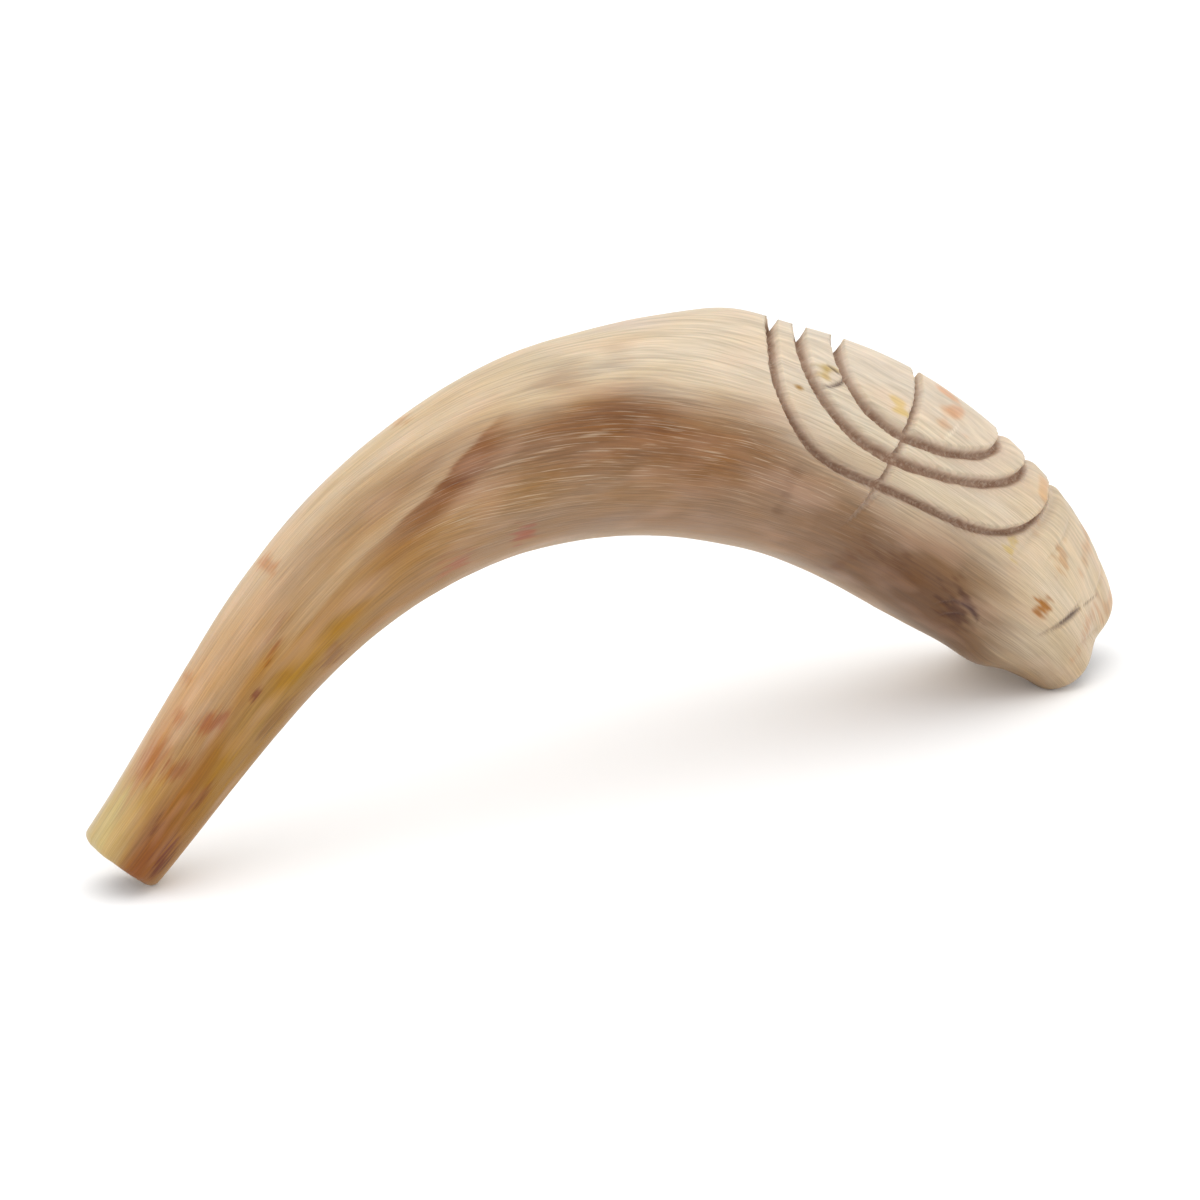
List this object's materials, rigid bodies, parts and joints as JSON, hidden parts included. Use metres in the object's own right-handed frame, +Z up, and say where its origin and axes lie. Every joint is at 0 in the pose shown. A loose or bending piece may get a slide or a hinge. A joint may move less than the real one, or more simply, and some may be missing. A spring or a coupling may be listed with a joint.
{
  "type": "shofar",
  "caption": "Curved ram's horn trumpet with a drilled mouth end, a natural hollow and a carved branched lampstand on its flared bell.",
  "frame": {"origin": "centre of the footprint of the standing horn, on the surface that it rests on", "axes": "+X from the mouth end towards the bell, +Z up, -Y faces the viewer's side"},
  "size_m": [0.316, 0.057, 0.126],
  "materials": {
    "horn": "satin"
  },
  "bodies": {
    "root": {"mouth_cup": "horn", "mouthpiece": "horn", "neck": "horn", "arch": "horn", "waist": "horn", "carved_upper": "horn", "carved_lower": "horn", "bell": "horn", "bell_rim": "horn"}
  },
  "joints": []
}
